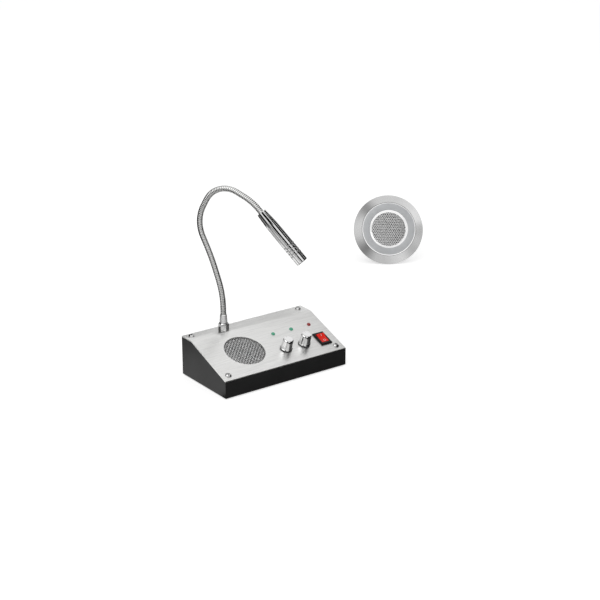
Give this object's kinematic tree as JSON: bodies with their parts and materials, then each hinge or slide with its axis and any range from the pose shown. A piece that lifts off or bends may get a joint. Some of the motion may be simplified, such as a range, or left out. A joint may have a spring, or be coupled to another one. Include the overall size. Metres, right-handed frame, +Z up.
{
  "type": "teller window intercom",
  "caption": "Two-way counter intercom: desk unit with speaker, knobs, rocker switch and gooseneck microphone, and a round outside speaker unit.",
  "frame": {"origin": "on the counter, under the middle of the desk unit's footprint", "axes": "+Z up, +X to the clerk's right, +Y from the clerk towards the customer; the sloping panel faces -Y"},
  "size_m": [0.5006, 0.3189, 0.2234],
  "materials": {
    "tray_plastic": "fine textured black",
    "foot_rubber": "plain black rubber",
    "panel_steel": "brushed lengthwise",
    "screw_steel": "bright plated",
    "mesh_steel": "fine woven mesh",
    "speaker_foam": "open foam",
    "speaker_steel": "dark plated",
    "cone_paper": "black paper",
    "magnet": "ferrite",
    "zinc_steel": "zinc plated",
    "knob_chrome": "polished",
    "green_lens": "translucent lens",
    "red_lens": "translucent lens",
    "circuit_board": "solder mask",
    "white_plastic": "moulded",
    "switch_black": "moulded",
    "rocker_red": "translucent red",
    "contact_brass": "plain",
    "heat_sink_aluminium": "extruded",
    "capacitor_sleeve": "shrink sleeve",
    "neck_chrome": "polished",
    "mic_chrome": "polished",
    "outer_steel": "turned",
    "outer_satin": "satin",
    "housing_plastic": "moulded black",
    "adhesive_pad": "foam tape"
  },
  "bodies": {
    "base": {"base_tray": "tray_plastic", "rubber_feet": "foot_rubber", "top_panel": "panel_steel", "panel_screws": "screw_steel", "speaker_mesh": "mesh_steel", "speaker_surround": "speaker_foam", "speaker_basket": "speaker_steel", "speaker_cone": "cone_paper", "speaker_magnet": "magnet", "speaker_clips": "zinc_steel", "speaker_nuts": "zinc_steel", "pots": "zinc_steel", "pot_washers": "zinc_steel", "pot_nuts": "zinc_steel", "green_lamps": "green_lens", "red_lamp": "red_lens", "lamp_board": "circuit_board", "lamp_posts": "white_plastic", "switch_body": "switch_black", "switch_blades": "contact_brass", "main_board": "circuit_board", "board_screws": "screw_steel", "amplifier_chip": "switch_black", "heat_sink": "heat_sink_aluminium", "capacitors": "capacitor_sleeve", "lead_sockets": "white_plastic", "power_socket": "switch_black", "audio_sockets": "switch_black", "neck_nut": "neck_chrome", "neck_ferrule": "neck_chrome", "neck_stud": "zinc_steel", "neck_washer": "zinc_steel", "neck_lock_nut": "zinc_steel", "outer_collar": "outer_steel", "outer_ring": "outer_satin", "outer_mesh": "mesh_steel", "outer_carrier": "switch_black", "outer_basket": "speaker_steel", "outer_cone": "cone_paper", "outer_magnet": "magnet", "outer_mic": "zinc_steel", "outer_housing": "housing_plastic", "outer_screws": "screw_steel", "outer_grommet": "foot_rubber", "outer_pad": "adhesive_pad"},
    "knob_left": {"knob_left": "knob_chrome", "shaft_left": "zinc_steel"},
    "knob_right": {"knob_right": "knob_chrome", "shaft_right": "zinc_steel"},
    "rocker": {"switch_rocker": "rocker_red"},
    "neck_1": {"neck_link_1": "neck_chrome"},
    "neck_2": {"neck_link_2": "neck_chrome"},
    "neck_3": {"neck_link_3": "neck_chrome"},
    "neck_4": {"neck_link_4": "neck_chrome"},
    "microphone": {"neck_link_5": "neck_chrome", "mic_tube": "mic_chrome", "mic_cap": "mic_chrome", "mic_foam": "speaker_foam", "mic_capsule": "zinc_steel"}
  },
  "joints": [
    {"name": "knob_left_turn", "type": "hinge", "parent": "base", "child": "knob_left", "pos_m": [0.015, -0.02229, 0.03065], "axis": [0, -0.3489, 0.9372], "range_deg": [-150, 150]},
    {"name": "knob_right_turn", "type": "hinge", "parent": "base", "child": "knob_right", "pos_m": [0.041, -0.02229, 0.03065], "axis": [0, -0.3489, 0.9372], "range_deg": [-150, 150]},
    {"name": "rocker_tilt", "type": "hinge", "parent": "base", "child": "rocker", "pos_m": [0.067, -0.02224, 0.02907], "axis": [-1, 0, 0], "range_deg": [0, 20]},
    {"name": "neck_lean", "type": "hinge", "parent": "base", "child": "neck_1", "pos_m": [-0.0355, 0.03205, 0.0702], "axis": [0.5736, -0.8192, 0], "range_deg": [-20, 20]},
    {"name": "neck_bend_low", "type": "hinge", "parent": "neck_1", "child": "neck_2", "pos_m": [-0.0391, 0.0372, 0.11353], "axis": [0.8192, 0.5736, 0], "range_deg": [-22, 18]},
    {"name": "neck_bend_low_2", "type": "hinge", "parent": "neck_2", "child": "neck_3", "pos_m": [-0.04792, 0.04978, 0.15632], "axis": [0.8192, 0.5736, 0], "range_deg": [-22, 18]},
    {"name": "neck_bend_high", "type": "hinge", "parent": "neck_3", "child": "neck_4", "pos_m": [-0.0469, 0.04834, 0.20121], "axis": [0.8192, 0.5736, 0], "range_deg": [-22, 14]},
    {"name": "neck_bend_high_2", "type": "hinge", "parent": "neck_4", "child": "microphone", "pos_m": [-0.02224, 0.01311, 0.21498], "axis": [0.8192, 0.5736, 0], "range_deg": [-22, 14]}
  ],
  "couplings": [
    {"joint": "neck_bend_low_2", "follows": "neck_bend_low", "ratio": 1},
    {"joint": "neck_bend_high_2", "follows": "neck_bend_high", "ratio": 1}
  ]
}
